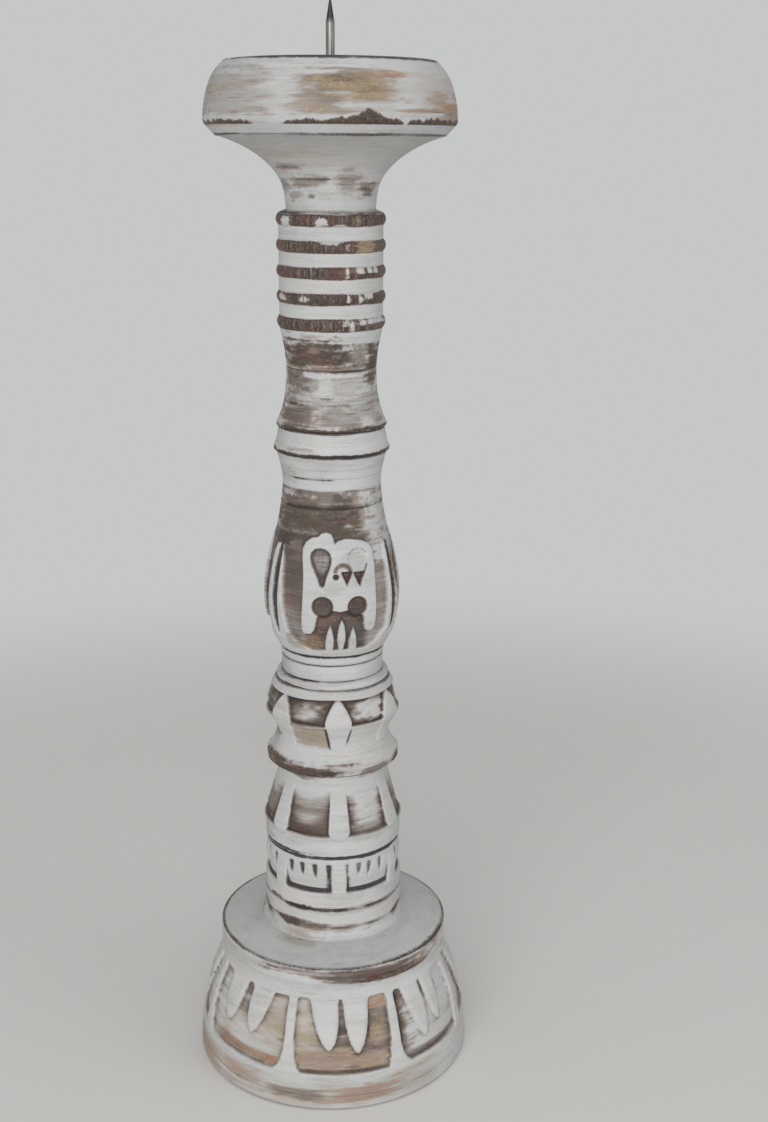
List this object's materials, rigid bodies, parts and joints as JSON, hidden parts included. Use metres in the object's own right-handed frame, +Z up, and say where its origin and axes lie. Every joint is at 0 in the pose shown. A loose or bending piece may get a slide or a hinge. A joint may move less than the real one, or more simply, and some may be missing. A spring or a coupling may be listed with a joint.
{
  "type": "pricket candle stand",
  "caption": "Turned and carved whitewashed wooden candle stand: round panelled base, stacked drums, vase and ringed neck, with a dished pan and a steel spike for a pillar candle.",
  "frame": {"origin": "centre of the felt's underside, on the table under the base", "axes": "+Z up along the turned axis, -Y towards the carved front, +X to the front's right"},
  "size_m": [0.1272, 0.1272, 0.4746],
  "materials": {
    "whitewashed_wood": "rubbed whitewash over dark stain",
    "dowel_wood": "bare beech",
    "spike_steel": "dull drawn wire",
    "zinc_steel": "zinc plated",
    "felt": "pressed felt"
  },
  "bodies": {
    "root": {"felt_pad": "felt", "base_plinth": "whitewashed_wood", "base_washer": "zinc_steel", "base_screw": "zinc_steel", "toothed_drum": "whitewashed_wood", "leaf_dowel": "dowel_wood", "leaf_drum": "whitewashed_wood", "lozenge_dowel": "dowel_wood", "lozenge_drum": "whitewashed_wood", "neck_ring": "whitewashed_wood", "vase_dowel": "dowel_wood", "carved_vase": "whitewashed_wood", "collar_ring": "whitewashed_wood", "collar_dowel": "dowel_wood", "ringed_neck": "whitewashed_wood", "pan_dowel": "dowel_wood", "candle_pan": "whitewashed_wood", "pricket_spike": "spike_steel"}
  },
  "joints": []
}
